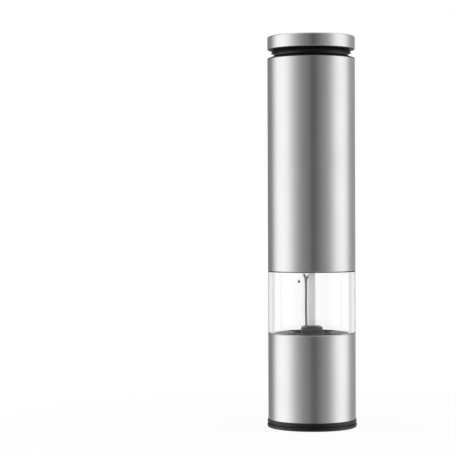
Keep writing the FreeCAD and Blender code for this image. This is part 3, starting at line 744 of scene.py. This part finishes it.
neck = {"bore": 22.6, "inside": 24.35, "waist": 21.2, "inner": 19.6, "lip": 0.4, "deck": (209.6, 211.6),
        "stem": 3.7, "legRadius": 14.7, "legAngles": (30, 150, 270),
        "legSlot": (1.8, 3.4, 4)}


def buildNeck():
    bottom, top, radius = heights("neck_collar")
    edge = heights("upper_sleeve")[1]
    deck, deckTop = neck["deck"]
    piece = lathe([
        (neck["bore"], bottom), (neck["inside"], bottom), (neck["inside"], edge), (radius, edge, 0.1),
        (radius, edge + neck["lip"], 0.15), (neck["waist"], edge + 1.8, 0.3), (neck["waist"], top, 0.3),
        (neck["inner"], top, 0.3), (neck["inner"], deckTop, 0.3), (neck["stem"], deckTop),
        (neck["stem"], deck), (neck["bore"], deck),
    ])
    slotCentre = (neck["legRadius"], 0, deck + 1)
    cutAway(piece, [addBlock(neck["legSlot"], slotCentre, turn) for turn in neck["legAngles"]])
    finishPiece(piece, "neckCollar", "black_plastic", "outer_sleeve", ["neck_collar"])


buildNeck()
refine("button_core", 0.2, "buttonCore")
print("neck made")


# ---- working parts, with their edges broken

brokenEdges = {
    "mill_housing": 0.25, "feed_bridge": 0.3, "shaft_bush": 0.15, "stator_burr": 0.2, "rotor_burr": 0.2,
    "rotor_core": 0.2, "bottom_plate": 0.25, "bottom_plate_screws": 0.08, "lamp_board": 0.08, "lamps": 0.0,
    "lamp_windows": 0.15, "contact_pins": 0.0, "drive_shaft": 0.0, "agitator": 0.28, "shaft_clip": 0.1,
    "adjust_knob": 0.2, "knob_nut": 0.15, "motor_chassis": 0.25, "motor_cover": 0.3, "plug_seal": 0.0,
    "contact_pads": 0.06, "gearbox_base": 0.2, "output_bush": 0.15, "ring_gear": 0.06, "output_carrier": 0.2,
    "stage_1_carrier": 0.06, "motor_pinion": 0.05, "motor_plate": 0.12, "gearbox_screws": 0.08,
    "motor_can": 0.15, "motor_end_bell": 0.2, "motor_terminals": 0.06, "battery_holder": 0.25,
    "battery_plates": 0.08, "holder_screws": 0.08, "contact_board": 0.08, "switch_body": 0.15, "switch_actuator": 0.2,
}
for nodeName, edge in brokenEdges.items():
    words = nodeName.split("_")
    refine(nodeName, edge, words[0] + "".join(word.title() for word in words[1:]) + "Piece")
for name in ("agitatorPiece", "feedBridgePiece"):
    bpy.data.objects[name].data.materials[0] = dullBlack
for stage in (1, 2):
    for letter in "abc":
        refine(f"stage_{stage}_planet_{letter}", 0.05, f"stage{stage}Planet{letter.upper()}")
print("working parts made")


# ---- crown of the stirrer: a grooved boss with a bright top edge

crown = {"bore": 3.0, "radius": 6.25, "shoulder": 4.7, "drop": 0.9, "depth": 4.2, "groove": 0.3,
         "grooveDrops": (1.5, 2.7)}


def buildCrown():
    top = heights("agitator")[1] + 0.02
    radius, groove = crown["radius"], crown["groove"]
    points = [(crown["bore"], top), (crown["shoulder"], top, 0.4), (radius, top - crown["drop"], 0.25)]
    for drop in crown["grooveDrops"]:
        points += [(radius, top - drop + groove / 2), (radius - groove, top - drop),
                   (radius - groove, top - drop - groove), (radius, top - drop - groove * 1.5)]
    points += [(radius, top - crown["depth"], 0.2), (crown["bore"], top - crown["depth"])]
    piece = finishPiece(lathe(points, steps=96), "stirrerCrown", "black_plastic", "shaft")
    piece.data.materials[0] = glossyBlack


buildCrown()
print("crown made")


# ---- cells, each a wrapped can with bare steel ends

cell = {"radius": 5.25, "length": 44.5, "nub": 1.9, "nubHeight": 1.0, "wrap": 0.1, "film": 0.06, "lap": 0.9,
        "flat": 0.72, "dish": 0.12}


def buildCells():
    low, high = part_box("battery_cells")
    offset = high.x / mm - cell["radius"]
    radius, wrap = cell["radius"], cell["wrap"]
    inside, film, lap = radius - wrap, radius - cell["film"], radius - cell["lap"]
    cans = []
    wraps = []
    for x, y, up in ((1, 1, 1), (-1, 1, -1), (-1, -1, 1), (1, -1, -1)):
        foot = high.z / mm - cell["length"] if up > 0 else low.z / mm + cell["length"]
        tip = foot + up * cell["length"]
        rim = tip - up * cell["nubHeight"]
        at = (x * offset, y * offset)
        flat, edge = foot + up * wrap, rim - up * wrap
        dished = edge - up * cell["dish"]
        filmLow, filmHigh = foot + up * cell["film"], rim - up * cell["film"]
        cans.append(lathe([
            (0, flat), (inside - cell["flat"], flat), (inside, flat, 0.3), (inside, edge, 0.3),
            (cell["nub"] + 0.7, edge), (cell["nub"] + 0.5, dished), (cell["nub"], dished),
            (cell["nub"], tip, 0.25), (0, tip),
        ], closed=False, steps=64, at=at))
        wraps.append(lathe([
            (lap, foot), (radius, foot, 0.35), (radius, rim, 0.35), (lap, rim),
            (lap, filmHigh), (film, filmHigh), (film, filmLow), (lap, filmLow),
        ], steps=64, at=at))
    finishPiece(joinPieces(cans), "cellCans", "plated_steel", "drive_unit", ["battery_cells"])
    finishPiece(joinPieces(wraps), "cellWraps", "cell_wrap", "drive_unit", ["battery_cells"])


buildCells()
print("cells made")
